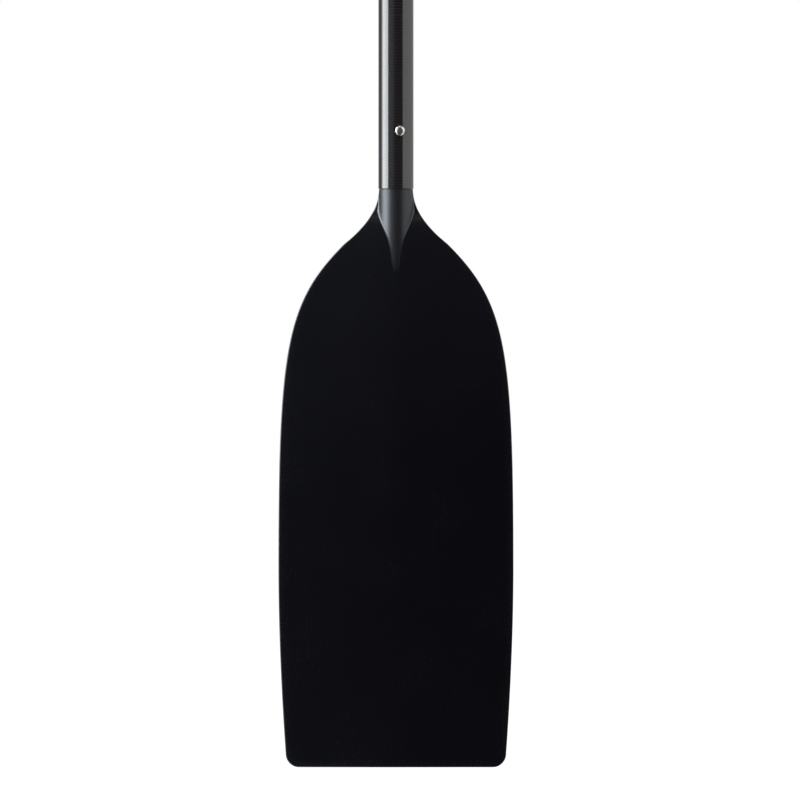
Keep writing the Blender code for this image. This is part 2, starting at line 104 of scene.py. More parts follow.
CLIP_END_ABOVE_BUTTON = 8 * MM
CLIP_STRAIGHT_BELOW_BUTTON = 26 * MM
CLIP_BEND_STEPS = 32

# Foam bulkheads
BULKHEAD_LENGTH = 22 * MM
BULKHEAD_CLEARANCE = 8 * MM
BULKHEAD_ROUND = 0.5 * MM

# Blade outline
BLADE_LENGTH = -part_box("blade")[0].z
BLADE_HALF_WIDTH = 101.6 * MM
NECK_RADIUS = 14.75 * MM
FLARE_DEPTH = 48 * MM
FLARE_HALF_WIDTH = 45 * MM
FLARE_SLOPE = 1.0
FLARE_TOP_PULL = 0.54
FLARE_FOOT_PULL = 0.083
SHOULDER_TOP_PULL = 0.252
SHOULDER_FOOT_PULL = 0.688
OUTLINE_POINTS = 400
WIDEST_ABOVE_TIP = 170 * MM
TIP_NARROWING = 7.1 * MM
SIDE_BOW = 1.8
TIP_CORNER_RADIUS = 10.5 * MM

# Blade plate, tongue and spine
EDGE_THICKNESS = 3.0 * MM
EDGE_ROUND = 1.5 * MM
EDGE_SQUARENESS = 3
TIP_FLAT_SHARE = 0.13
PLATE_THICKNESS = 6.0 * MM
TIP_THICKNESS = 4.0 * MM
RAMP_START = 17 * MM
RAMP_LENGTH = 15.3 * MM
RAMP_BOW = 1.5
TIP_SETBACK = 9.0 * MM
SETBACK_START = 80 * MM
SETBACK_BOW = 1.5
RIDGE_SLOPE = 0.02
RIDGE_ROUND = 8 * MM
WEB_FILLET = 3.5 * MM
WEB_FILLET_SHARE = 0.7
TONGUE_FILLET = 0.6 * MM
TONGUE_PROUD = 0.42 * MM
TONGUE_END = 45 * MM
TONGUE_FADE = 277 * MM
SPINE_START = 92 * MM
SPINE_END = 350 * MM
SPINE_END_WIDTH = 6 * MM
SPINE_FILLET = 8 * MM
SPINE_FLANK = 2.5

# Blade mesh
TONGUE_FOOT = 85 * MM
NECK_SECTIONS = 110
LOWER_SECTIONS = 110
CORNER_SECTIONS = 14
CORE_COLUMNS = 24
CORE_ANGLE = math.radians(76)
WING_COLUMNS = 26
WING_CROWDING = 1.4
EDGE_COLUMNS = 6

# Where the blade's finish changes: scuffs at the rim, a hazier neck that also carries a painted
# sheen, and painted light that makes the upper face paler
WEAR_REACH = 7 * MM
WEAR_FREE_NECK = 60 * MM
NECK_BLEND = 0.2 * MM
HAZE_AND_SHEEN_FADE = 60 * MM
HAZE_AND_SHEEN_END = 76 * MM
PAINTED_TOP_LIGHT_END = 220 * MM
PAINTED_TOP_LIGHT_FADE = 140 * MM

# T-grip
GRIP_WIDTH = 104 * MM
GRIP_DEPTH = 33 * MM
GRIP_HEIGHT = 68 * MM
GRIP_BAR_HEIGHT = 31 * MM
GRIP_ROOT_WIDTH = 38 * MM
GRIP_END_HEIGHT = 26 * MM
GRIP_END_DEPTH = 27 * MM
GRIP_END_DROOP = 2.5 * MM
GRIP_STEM_FLARE = 33 * MM
GRIP_ARM_RINGS = (0.5, 0.9, 1.0)
GRIP_FLARE_RING = 0.25
GRIP_STEM_RINGS = (0.6, 1.3)
GRIP_ROUNDNESS = 4
GRIP_PLUG_LENGTH = 45 * MM
GRIP_PALM_DEPTH = 14 * MM
GRIP_PARTING_LINE = 0.35 * MM

# Photograph's frame, measured at the paddle
VIEW_SIDE = 692.3 * MM
VIEW_CENTRE = Vector((3.5 * MM, 0, -182.4 * MM))
CAMERA_DISTANCE = 6.0
CAMERA_FAR_END = 100.0
SENSOR_WIDTH = 36.0


class Value:
    """A node's output. Arithmetic on it adds Math nodes."""

    def __init__(self, finish, socket):
        self.finish = finish
        self.socket = socket

    def __add__(self, other):
        return self.finish.maths("ADD", self, other)

    __radd__ = __add__

    def __sub__(self, other):
        return self.finish.maths("SUBTRACT", self, other)

    def __rsub__(self, other):
        return self.finish.maths("SUBTRACT", other, self)

    def __mul__(self, other):
        return self.finish.maths("MULTIPLY", self, other)

    def __truediv__(self, other):
        return self.finish.maths("DIVIDE", self, other)

    def __pow__(self, other):
        return self.finish.maths("POWER", self, other)


class Finish:
    """The node graph of a material, or of the world."""

    def __init__(self, owner):
        self.owner = owner
        owner.use_nodes = True
        self.nodes = owner.node_tree.nodes
        self.links = owner.node_tree.links
        self.nodes.clear()

    def node(self, kind, settings=None, inputs=None, output=0):
        """Adds a node with its settings and its sockets' values or links, and gives an output."""
        made = self.nodes.new(kind)
        for key, value in (settings or {}).items():
            if key == "stops":
                self.set_stops(made.color_ramp, value)
            else:
                setattr(made, key, value)
        for key, value in (inputs or {}).items():
            if isinstance(value, Value):
                self.links.new(value.socket, made.inputs[key])
            else:
                made.inputs[key].default_value = value
        return Value(self, made.outputs[output]) if len(made.outputs) else None

    def set_stops(self, ramp, stops):
        """Gives a ramp its stops of (position, colour)."""
        while len(ramp.elements) < len(stops):
            ramp.elements.new(0.5)
        for element, (position, colour) in zip(ramp.elements, stops):
            element.position = position
            element.color = (*colour, 1)

    def maths(self, operation, *terms):
        settings = {"operation": operation}
        return self.node("ShaderNodeMath", settings, dict(enumerate(terms)))

    def place(self):
        """Object coordinates, which are the paddle's own, in metres."""
        return self.node("ShaderNodeTexCoord", output="Object")

    def attribute(self, name):
        """A value from 0 to 1 that the mesh carries at its points."""
        return self.node("ShaderNodeAttribute", {"attribute_name": name}, output="Fac")

    def axes(self, place):
        split = self.node("ShaderNodeSeparateXYZ", inputs={"Vector": place})
        outputs = split.socket.node.outputs
        return [Value(self, outputs[axis]) for axis in ("X", "Y", "Z")]

    def noise(self, place, size, detail, stretch=None):
        """Noise from 0 to 1 whose features are about a size across, in metres."""
        if stretch:
            scaling = {"Vector": place, "Scale": stretch}
            place = self.node("ShaderNodeMapping", inputs=scaling)
        inputs = {"Vector": place, "Scale": 1 / size, "Detail": detail}
        return self.node("ShaderNodeTexNoise", {"noise_dimensions": "3D"}, inputs)

    def mix(self, share, first, second):
        """Blends two colours by a value."""
        inputs = {0: share, 6: first, 7: second}
        return self.node("ShaderNodeMix", {"data_type": "RGBA"}, inputs, output=2)

    def limit(self, value):
        return self.node("ShaderNodeClamp", inputs={"Value": value})

    def bump(self, height, depth, strength):
        """A normal from a height of 0 to 1 that stands for a depth in metres."""
        inputs = {"Height": height, "Distance": depth, "Strength": strength}
        return self.node("ShaderNodeBump", inputs=inputs)

    def shade(self, **inputs):
        """A Principled shader as the surface. An underscore in a name stands for a space."""
        named = {key.replace("_", " "): value for key, value in inputs.items()}
        shader = self.node("ShaderNodeBsdfPrincipled", inputs=named)
        self.node("ShaderNodeOutputMaterial", inputs={"Surface": shader})
        return self.owner


def new_finish(name):
    return Finish(bpy.data.materials.new(name))


def grey(level):
    return (level, level, level, 1.0)


def blade_finish():
    """Black fibre-filled plastic: a satin face with painted light making its upper part paler, a
    hazier neck with a painted sheen, and edges a little scuffed.
    """
    plastic = new_finish("moulded_blade_plastic")
    place = plastic.place()
    height = plastic.axes(place)[2]
    grain = plastic.noise(place, 0.9 * MM, 3.0)
    fibre = plastic.noise(place, 1.6 * MM, 2.0, stretch=(1.0, 1.0, 0.22))
    cloud = plastic.noise(place, 60 * MM, 2.0)
    wear = plastic.attribute("edge_wear")
    neck = plastic.attribute("neck_round")
    scuff = plastic.limit(wear * (fibre + 0.2))
    mottle = fibre * 0.4 + cloud * 0.6
    # Painted light: the face's colour turns paler and bluer towards the top, fading out
    # downwards, for the light that falls on it from above
    upper = plastic.limit((height + PAINTED_TOP_LIGHT_END) / PAINTED_TOP_LIGHT_FADE)
    face = plastic.mix(mottle, (0.0005, 0.0002, 0.0042, 1), (0.0017, 0.0007, 0.007, 1))
    face = plastic.mix(upper * 0.5, face, (0.0039, 0.0035, 0.0098, 1))
    # Painted sheen: the neck's round gets a lighter, bluer colour than the face, for the side
    # light that its curve catches; its higher roughness is the real, hazier finish
    painted_neck_sheen = plastic.mix(mottle, (0.0068, 0.0056, 0.0115, 1), (0.0112, 0.01, 0.0165, 1))
    colour = plastic.mix(neck, face, painted_neck_sheen)
    colour = plastic.mix(scuff * 0.1, colour, (0.03, 0.03, 0.03, 1))
    speckle = (grain - 0.5) * 0.08 + (fibre - 0.5) * 0.04
    roughness = 0.25 + neck * 0.15 + speckle * (1 + neck) + (cloud - 0.5) * 0.06 + scuff * 0.06
    normal = plastic.bump(grain * 0.8 + fibre * 0.2, 0.03 * MM, 0.4)
    return plastic.shade(
        Base_Color=colour,
        Roughness=roughness,
        Normal=normal,
        IOR=1.68,
        Specular_Tint=(0.92, 0.97, 1.0, 1),
    )


def carbon_finish():
    """Carbon tow wound round the shaft in close turns, under a clear gloss resin."""
    carbon = new_finish("wound_carbon")
    place = carbon.place()
    x, y, z = carbon.axes(place)
    around = carbon.maths("ARCTAN2", x, 0 - y) / (2 * math.pi)
    turns = z / WINDING_PITCH + around
    wave = carbon.maths("SINE", turns * (2 * math.pi)) * 0.5 + 0.5
    tow = carbon.noise(place, 1.0 * MM, 2.0, stretch=(0.5, 0.5, 2.2))
    cloud = carbon.noise(place, 30 * MM, 2.0)
    shine = carbon.limit(wave * 0.9 + (tow - 0.5) * 0.7 + 0.05)
    colour = carbon.mix(shine, (0.0059, 0.0049, 0.0061, 1), (0.0266, 0.0239, 0.0273, 1))
    roughness = 0.17 + (tow - 0.5) * 0.12 + (wave - 0.5) * 0.06 + (cloud - 0.5) * 0.04
    gloss = 1.02 - shine * 0.12 - (cloud - 0.4) * 0.3
    normal = carbon.bump(wave * 0.8 + tow * 0.2, 0.03 * MM, 0.3)
    return carbon.shade(
        Base_Color=colour,
        Roughness=roughness,
        Normal=normal,
        Coat_Weight=carbon.limit(gloss),
        Coat_Roughness=0.04,
    )


def laminate_finish():
    """Ground glass laminate, with the fine marks that the grinding left round it."""
    laminate = new_finish("ferrule_laminate")
    place = laminate.place()
    marks = laminate.noise(place, 0.5 * MM, 2.0, stretch=(0.12, 0.12, 1.0))
    cloth = laminate.noise(place, 2.2 * MM, 1.0, stretch=(1.0, 1.0, 0.6))
    cloud = laminate.noise(place, 18 * MM, 2.0)
    pattern = marks * 0.5 + cloth * 0.5
    colour = laminate.mix(pattern, (0.018, 0.018, 0.017, 1), (0.06, 0.06, 0.056, 1))
    roughness = 0.42 + (cloud - 0.5) * 0.12 + (marks - 0.5) * 0.1
    normal = laminate.bump(marks, 0.02 * MM, 0.6)
    return laminate.shade(Base_Color=colour, Roughness=roughness, Normal=normal)


def cap_finish():
    """Plain black moulded plastic with a spark-eroded grain."""
    plastic = new_finish("cap_plastic")
    place = plastic.place()
    grain = plastic.noise(place, 0.6 * MM, 3.0)
    cloud = plastic.noise(place, 9 * MM, 2.0)
    colour = plastic.mix(cloud, (0.02, 0.02, 0.02, 1), (0.035, 0.035, 0.034, 1))
    roughness = 0.55 + (grain - 0.5) * 0.12
    normal = plastic.bump(grain, 0.04 * MM, 0.5)
    return plastic.shade(Base_Color=colour, Roughness=roughness, Normal=normal)


def foam_finish():
    """Pale closed-cell foam, with painted shade darkening the grooves between its cells."""
    foam = new_finish("bulkhead_foam")
    place = foam.place()
    cells = foam.node(
        "ShaderNodeTexVoronoi",
        {"feature": "F1"},
        {"Vector": place, "Scale": 1 / (1.1 * MM), "Randomness": 1.0},
        output="Distance",
    )
    cloud = foam.noise(place, 8 * MM, 2.0)
    # Painted shade: the colour darkens towards each cell's edge, where the bump sinks into a
    # groove
    colour = foam.mix(cells, (0.78, 0.77, 0.72, 1), (0.5, 0.49, 0.45, 1))
    roughness = 0.85 + (cloud - 0.5) * 0.1
    normal = foam.bump(1 - cells, 0.25 * MM, 0.7)
    return foam.shade(Base_Color=colour, Roughness=roughness, Normal=normal)


def spring_finish():
    """Spring steel with the rolling lines of its strip along the legs."""
    steel = new_finish("spring_steel")
    place = steel.place()
    lines = steel.noise(place, 0.35 * MM, 2.0, stretch=(1.0, 1.0, 0.03))
    cloud = steel.noise(place, 7 * MM, 2.0)
    colour = steel.mix(cloud, (0.4, 0.4, 0.41, 1), (0.56, 0.55, 0.54, 1))
    roughness = 0.3 + (lines - 0.5) * 0.2 + (cloud - 0.5) * 0.08
    normal = steel.bump(lines, 0.01 * MM, 0.5)
    return steel.shade(Base_Color=colour, Roughness=roughness, Normal=normal, Metallic=1.0)


def button_finish():
    """Polished stainless steel, worn to fine hairlines on the crown."""
    steel = new_finish("button_steel")
    place = steel.place()
    hair = steel.noise(place, 0.25 * MM, 2.0, stretch=(1.0, 1.0, 0.1))
    cloud = steel.noise(place, 3 * MM, 2.0)
    colour = steel.mix(cloud, (0.82, 0.8, 0.77, 1), (0.92, 0.9, 0.86, 1))
    roughness = 0.12 + (hair - 0.5) * 0.06
    normal = steel.bump(hair, 0.004 * MM, 0.4)
    return steel.shade(Base_Color=colour, Roughness=roughness, Normal=normal, Metallic=0.93)


def grip_finish():
    """Black moulded plastic of the grip, with a finer and glossier palm."""
    plastic = new_finish("grip_plastic")
    place = plastic.place()
    y, z = plastic.axes(place)[1:]
    grain = plastic.noise(place, 0.8 * MM, 3.0)
    cloud = plastic.noise(place, 22 * MM, 2.0)
    palm_start = GRIP_SEAM + GRIP_HEIGHT - GRIP_PALM_DEPTH
    palm = plastic.limit((z - palm_start) / GRIP_PALM_DEPTH)
    seam = plastic.limit(1 - plastic.maths("ABSOLUTE", y) / GRIP_PARTING_LINE)
    colour = plastic.mix(cloud, (0.007, 0.007, 0.0078, 1), (0.0125, 0.0125, 0.013, 1))
    roughness = 0.46 + (grain - 0.5) * 0.12 - palm * 0.12 + (cloud - 0.5) * 0.06
    normal = plastic.bump(grain * (1 - palm * 0.6) + seam * 2.0, 0.05 * MM, 0.6)
    return plastic.shade(Base_Color=colour, Roughness=roughness, Normal=normal)


def extrude(bm, edges):
    """Extrudes edges and gives the new edges and vertices."""
    made = bmesh.ops.extrude_edge_only(bm, edges=edges)["geom"]
    new_edges = [part for part in made if isinstance(part, bmesh.types.BMEdge)]
    new_verts = [part for part in made if isinstance(part, bmesh.types.BMVert)]
    return new_edges, new_verts


def turned(profile, steps):
    """Turns a profile of (radius, height) points, listed from the top down, about Z.

    A profile that starts and ends on the axis is solid, and a loop clear of it is a ring.
    """
    bm = bmesh.new()
    points = [bm.verts.new((radius, 0, height)) for radius, height in profile]
    edges = [bm.edges.new(pair) for pair in zip(points, points[1:])]
    if profile[0][0] > 0:
        edges.append(bm.edges.new((points[-1], points[0])))
    bmesh.ops.spin(
        bm,
        geom=points + edges,
        cent=(0, 0, 0),
        axis=UP,
        angle=2 * math.pi,
        steps=steps,
        use_merge=True,
    )
    bmesh.ops.remove_doubles(bm, verts=bm.verts, dist=MERGE)
    bmesh.ops.recalc_face_normals(bm, faces=bm.faces)
    return bm


def round_off(bm, edges, width, segments):
    """Rounds edges in steps."""
    bmesh.ops.bevel(
        bm,
        geom=edges,
        offset=width,
        segments=segments,
        profile=0.5,
        affect="EDGES",
        material=-1,
    )


def soften(bm, width, segments=3):
    """Rounds the sharp edges."""
    solid = [edge for edge in bm.edges if edge.is_manifold]
    sharp = [edge for edge in solid if edge.calc_face_angle() > SOFTENED_ANGLE]
    round_off(bm, sharp, width, segments)


def cut(bm, cutter):
    """Cuts one bmesh with another and gives the result as a new bmesh."""
    objects = []
    for name, shape in (("cut_target", bm), ("cut_tool", cutter)):
        mesh = bpy.data.meshes.new(name)
        shape.to_mesh(mesh)
        shape.free()
        obj = bpy.data.objects.new(name, mesh)
        bpy.context.scene.collection.objects.link(obj)
        objects.append(obj)
    target, tool = objects
    modifier = target.modifiers.new("cut", "BOOLEAN")
    modifier.operation = "DIFFERENCE"
    modifier.solver = "EXACT"
    modifier.object = tool
    graph = bpy.context.evaluated_depsgraph_get()
    result = bmesh.new()
    result.from_mesh(target.evaluated_get(graph).to_mesh())
    for obj in objects:
        mesh = obj.data
        bpy.data.objects.remove(obj)
        bpy.data.meshes.remove(mesh)
    return result


def turn_to_button(bm, seam):
    """Takes a shape on +Z to a button's axis, which points out of the shaft."""
    turn = BUTTON_DIRECTION.to_track_quat("Z", "Y").to_matrix()
    bmesh.ops.rotate(bm, cent=(0, 0, 0), matrix=turn, verts=bm.verts)
    bmesh.ops.translate(bm, vec=(0, 0, seam + BUTTON_HEIGHT), verts=bm.verts)
    return bm


def drill_at_button(bm, seam, radius):
    """Drills a piece from the shaft's axis outwards, along a button's axis."""
    profile = [(0, DRILL_REACH), (radius, DRILL_REACH), (radius, 0), (0, 0)]
    drill = turned(profile, BUTTON_STEPS)
    return cut(bm, turn_to_button(drill, seam))


def add_piece(name, bm, node, body, finish):
    """Makes a piece that stands for a CAD node and rides on its body."""
    mesh = bpy.data.meshes.new(name)
    bm.to_mesh(mesh)
    bm.free()
    mesh.materials.append(finish)
    mesh.shade_smooth()
    mesh.set_sharp_from_angle(angle=SHARP_ANGLE)
    piece = bpy.data.objects.new(name, mesh)
    bpy.context.scene.collection.objects.link(piece)
    weigh = piece.modifiers.new("even_shading", "WEIGHTED_NORMAL")
    weigh.keep_sharp = True
    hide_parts(node)
    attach(piece, body)
    return piece


def ease(share):
    """A smooth step from 0 to 1."""
    share = min(max(share, 0), 1)
    return share * share * (3 - 2 * share)


def soft_max(a, b, width):
    """The larger of two heights, with a fillet where they lie within a width of each other."""
    if width <= 0:
        return max(a, b)
    return max(a, b) + max(width - abs(a - b), 0) ** 2 / (4 * width)


def shoulder_outline():
    """Points of (depth, half width) from the seam round the shoulder to the widest place."""
    lean = Vector((1, FLARE_SLOPE)).normalized()
    seam = Vector((0, NECK_RADIUS))
    flare = Vector((FLARE_DEPTH, FLARE_HALF_WIDTH))
    widest = Vector((BLADE_LENGTH - WIDEST_ABOVE_TIP, BLADE_HALF_WIDTH))
    along = Vector((1, 0))
    shoulder = widest.x - flare.x
    spans = [
        (
            seam,
            seam + along * FLARE_DEPTH * FLARE_TOP_PULL,
            flare - lean * FLARE_DEPTH * FLARE_FOOT_PULL,
            flare,
        ),
        (
            flare,
            flare + lean * shoulder * SHOULDER_TOP_PULL,
            widest - along * shoulder * SHOULDER_FOOT_PULL,
            widest,
        ),
    ]
    points = interpolate_bezier(*[point.to_3d() for point in spans[0]], OUTLINE_POINTS)[:-1]
    points += interpolate_bezier(*[point.to_3d() for point in spans[1]], OUTLINE_POINTS)
    return points


SHOULDER = shoulder_outline()
SHOULDER_DEPTHS = [point.x for point in SHOULDER]


def half_width(depth):
    """The blade's half width at a depth below the seam."""
    if depth <= 0:
        return NECK_RADIUS
    above_tip = BLADE_LENGTH - depth
    if above_tip > WIDEST_ABOVE_TIP:
        after = min(max(bisect.bisect_right(SHOULDER_DEPTHS, depth), 1), len(SHOULDER) - 1)
        low, high = SHOULDER[after - 1], SHOULDER[after]
        return low.y + (high.y - low.y) * (depth - low.x) / (high.x - low.x)
    narrowing = TIP_NARROWING * (1 - above_tip / WIDEST_ABOVE_TIP) ** SIDE_BOW
    into_corner = max(TIP_CORNER_RADIUS - above_tip, 0)
    corner = TIP_CORNER_RADIUS - math.sqrt(TIP_CORNER_RADIUS**2 - into_corner**2)
    return BLADE_HALF_WIDTH - narrowing - corner


def spine_share(depth):
    """How much of the full neck is left in the spine at a depth, from 1 to 0."""
    return 1 - ease((depth - SPINE_START) / (SPINE_END - SPINE_START))


def spine_width(depth):
    """Half the width of the spine, which is the neck's own at first."""
    return SPINE_END_WIDTH + (NECK_RADIUS - SPINE_END_WIDTH) * spine_share(depth)


def round_height(x, height, width):
    """Half an ellipse over the middle, and a steep flank that drops away on either side."""
    if abs(x) < width:
        return height * math.sqrt(1 - (x / width) ** 2)
    return -SPINE_FLANK * (abs(x) - width)


def blade_section(depth, x):
    """Front and back of the blade, as heights in front of the shaft's axis plane."""
    width = half_width(depth)
    ramp = 1 - math.exp(-((max(depth - RAMP_START, 0) / RAMP_LENGTH) ** RAMP_BOW))
    setback_share = max(depth - SETBACK_START, 0) / (BLADE_LENGTH - SETBACK_START)
    setback = TIP_SETBACK * setback_share**SETBACK_BOW
    ridge = RIDGE_SLOPE * (math.hypot(x, RIDGE_ROUND) - RIDGE_ROUND)
    middle_thickness = PLATE_THICKNESS + (TIP_THICKNESS - PLATE_THICKNESS) * depth / BLADE_LENGTH
    thickness = EDGE_THICKNESS + (middle_thickness - EDGE_THICKNESS) * (1 - (x / width) ** 2)
    flush = NECK_RADIUS - TONGUE_PROUD - EDGE_THICKNESS / 2
    face = EDGE_THICKNESS / 2 + (flush - ridge) * ramp - setback
    middle = face - thickness / 2

    to_edge = min(width - abs(x), BLADE_LENGTH - depth + TIP_FLAT_SHARE * EDGE_ROUND)
    inward = min(max(to_edge / EDGE_ROUND, 0), 1)
    # The edge is a little squarer than a half circle, so it catches less light from the side
    fullness = (1 - (1 - inward) ** EDGE_SQUARENESS) ** (1 / EDGE_SQUARENESS)
    half = thickness / 2 * fullness
    front = middle + half
    back = middle - half

    spine = spine_share(depth)
    spine_centre = middle * (1 - spine)
    spine_sink = SPINE_FILLET * (1 - spine)
    rib = round_height(x, NECK_RADIUS * spine, spine_width(depth)) - spine_centre - spine_sink
    wing = max(width - NECK_RADIUS, 0)
    drop = NECK_RADIUS * ease((depth - TONGUE_END) / TONGUE_FADE)
    web_fillet = TONGUE_FILLET + (WEB_FILLET - TONGUE_FILLET) * (1 - ramp)
    front = tongue_front(x, front, drop, min(web_fillet, wing * WEB_FILLET_SHARE))
    back = -soft_max(-back, rib, min(SPINE_FILLET, wing))
    return front, back


def tongue_front(x, face, drop, fillet):
    """The neck's round, lowered by a drop, where it stands out of the face, with its fillet."""
    level = face + drop
    if level >= NECK_RADIUS:
        return face
    out = math.sqrt((NECK_RADIUS + fillet) ** 2 - (level + fillet) ** 2)
    meeting = out * NECK_RADIUS / (NECK_RADIUS + fillet)
    if abs(x) <= meeting:
        return math.sqrt(NECK_RADIUS**2 - x**2) - drop
    if abs(x) < out:
        return face + fillet - math.sqrt(fillet**2 - (out - abs(x)) ** 2)
    return face


def section_columns(depth):
    """Places across one section: over the neck or spine, out over the plate, round the edge."""
    half = []
    for step in range(CORE_COLUMNS + 1):
        half.append(spine_width(depth) * math.sin(CORE_ANGLE * step / CORE_COLUMNS))
    core = half[-1]
    edge = half_width(depth)
    # Beside the neck the wing is narrow, and the rounding takes a third of it
    rounding = min(EDGE_ROUND, (edge - core) / 3)
    flat = edge - rounding
    for step in range(1, WING_COLUMNS + 1):
        share = ((1 - math.cos(math.pi * step / WING_COLUMNS)) / 2) ** WING_CROWDING
        half.append(core + (flat - core) * share)
    for step in range(1, EDGE_COLUMNS + 1):
        half.append(flat + rounding * math.sin(math.pi / 2 * step / EDGE_COLUMNS))
    return [-x for x in reversed(half[1:])] + half


def blade_depths():
    """Depths of the sections, close together at the neck and round the tip's corners."""
    top = END_ROUND + GAP / 2
    corner_start = BLADE_LENGTH - TIP_CORNER_RADIUS
    depths = []
    for step in range(NECK_SECTIONS):
        depths.append(top + (TONGUE_FOOT - top) * step / NECK_SECTIONS)
    for step in range(LOWER_SECTIONS):
        depths.append(TONGUE_FOOT + (corner_start - TONGUE_FOOT) * step / LOWER_SECTIONS)
    for step in range(CORNER_SECTIONS, -1, -1):
        rise = TIP_CORNER_RADIUS * (1 - math.cos(math.pi / 2 * step / CORNER_SECTIONS))
        depths.append(BLADE_LENGTH - rise)
    return depths


def blade_ring(depth, shrink, level):
    """One closed section of the blade, as points round it from the left edge."""
    columns = section_columns(depth)
    front = [(x, -blade_section(depth, x)[0]) for x in columns]
    back = [(x, -blade_section(depth, x)[1]) for x in reversed(columns[1:-1])]
    return [Vector((x * shrink, y * shrink, level)) for x, y in front + back]


def make_blade(finish):
    """The moulded blade: a grid wrapped round its sections, with the neck's socket let in."""
    shrink = 1 - END_ROUND / NECK_RADIUS
    rings = [blade_ring(0, shrink, -GAP / 2)]
    rings += [blade_ring(depth, 1, -depth) for depth in blade_depths()]
    around = len(rings[0])
    down = len(rings) - 1
    bm = bmesh.new()
    bmesh.ops.create_grid(bm, x_segments=around, y_segments=down, size=1)
    for v in bm.verts:
        column = round((v.co.x + 1) / 2 * around) % around
        row = round((1 - v.co.y) / 2 * down)
        v.co = rings[row][column]
    bmesh.ops.remove_doubles(bm, verts=bm.verts, dist=MERGE)
    rim = [edge for edge in bm.edges if edge.is_boundary and edge.verts[0].co.z > -END_ROUND]
    tip = [edge for edge in bm.edges if edge.is_boundary and edge.verts[0].co.z < -END_ROUND]
    bmesh.ops.contextual_create(bm, geom=tip)
    lip, inner = extrude(bm, rim)
    for v in inner:
        v.co.xy = v.co.xy.normalized() * TUBE_BORE
    well, floor = extrude(bm, lip)
    for v in floor:
        v.co.z = -FERRULE_SEAT - GAP
    bmesh.ops.contextual_create(bm, geom=well)
    bmesh.ops.recalc_face_normals(bm, faces=bm.faces)
    return add_piece("moulded_blade", bm, "blade", "blade", finish)


def paint_marks(blade):
    """Marks how near each point is to the outline, for scuffs, and the neck's round, for its
    rougher finish and its painted sheen.
    """
    wear = blade.data.attributes.new("edge_wear", "FLOAT", "POINT")
    neck = blade.data.attributes.new("neck_round", "FLOAT", "POINT")
    for v, worn, rounded_part in zip(blade.data.vertices, wear.data, neck.data):
        depth = -v.co.z
        side = half_width(depth) - abs(v.co.x)
        tip = BLADE_LENGTH - depth
        near = min(side + max(WEAR_FREE_NECK - depth, 0), tip)
        worn.value = min(max(1 - near / WEAR_REACH, 0), 1)
        drop = NECK_RADIUS * ease((depth - TONGUE_END) / TONGUE_FADE)
        off_round = NECK_RADIUS - math.hypot(v.co.x, v.co.y + math.copysign(drop, v.co.y))
        fade = 1 - ease((depth - HAZE_AND_SHEEN_FADE) / (HAZE_AND_SHEEN_END - HAZE_AND_SHEEN_FADE))
        rounded_part.value = max(1 - abs(off_round) / NECK_BLEND, 0) * fade


def make_tube(name, node, body, seam, top, finish):
    """A wound tube that stands on a seam, drilled for the button of the joint below it."""
    foot = seam + GAP / 2
    head = top - GAP / 2
    above_hole = seam + BUTTON_HEIGHT + BUTTON_HOLE_BAND
    below_hole = seam + BUTTON_HEIGHT - BUTTON_HOLE_BAND
    profile = [
        (TUBE_RADIUS, head),
        (TUBE_RADIUS, above_hole),
        (TUBE_RADIUS, below_hole),
        (TUBE_RADIUS, foot),
        (TUBE_BORE, foot),
        (TUBE_BORE, below_hole),
        (TUBE_BORE, above_hole),
        (TUBE_BORE, head),
    ]
    bm = turned(profile, TUBE_STEPS)
    soften(bm, END_ROUND)
    bm = drill_at_button(bm, seam, BUTTON_RADIUS + BUTTON_HOLE_CLEARANCE)
    return add_piece(name, bm, node, body, finish)


def make_ferrule(name, node, body, seam, finish):
    """The tube that joins two lengths, bonded in below the seam and proud above it."""
    foot = seam - FERRULE_SEAT
    top = seam + FERRULE_PROUD - CAP_FLANGE - GAP
    profile = [
        (FERRULE_RADIUS, top),
        (FERRULE_RADIUS, seam + BUTTON_HEIGHT + BUTTON_HOLE_BAND),
        (FERRULE_RADIUS, seam + BUTTON_HEIGHT - BUTTON_HOLE_BAND),
        (FERRULE_RADIUS, foot),
        (FERRULE_BORE, foot),
        (FERRULE_BORE, top),
    ]
    bm = turned(profile, FERRULE_STEPS)
    soften(bm, FERRULE_ROUND)
    bm = drill_at_button(bm, seam, BUTTON_RADIUS + GAP)
    return add_piece(name, bm, node, body, finish)


def make_cap(name, node, body, seam, finish):
    """The plug that keeps water out of a ferrule."""
    top = seam + FERRULE_PROUD
    plug = FERRULE_BORE - GAP
    foot = top - CAP_FLANGE - GAP - CAP_PLUG_LENGTH
    profile = [
        (0, top),
        (FERRULE_RADIUS, top),
        (FERRULE_RADIUS, top - CAP_FLANGE),
        (plug, top - CAP_FLANGE),
        (plug, foot),
        (0, foot),
    ]
    bm = turned(profile, FERRULE_STEPS)
    soften(bm, CAP_ROUND, 4)
    return add_piece(name, bm, node, body, finish)


def make_bulkhead(name, node, body, seam, finish):
    """A foam disc bonded into a tube above the ferrule that it slides over."""
    foot = seam + FERRULE_PROUD + BULKHEAD_CLEARANCE
    top = foot + BULKHEAD_LENGTH
    radius = TUBE_BORE - GAP
    bm = turned([(0, top), (radius, top), (radius, foot), (0, foot)], FERRULE_STEPS)
    soften(bm, BULKHEAD_ROUND)
    return add_piece(name, bm, node, body, finish)


def clip_reach():
    """How far from the ferrule's axis the clip's outer faces lie, by the strip's corners."""
    return math.sqrt(FERRULE_BORE**2 - (CLIP_WIDTH / 2) ** 2) - GAP


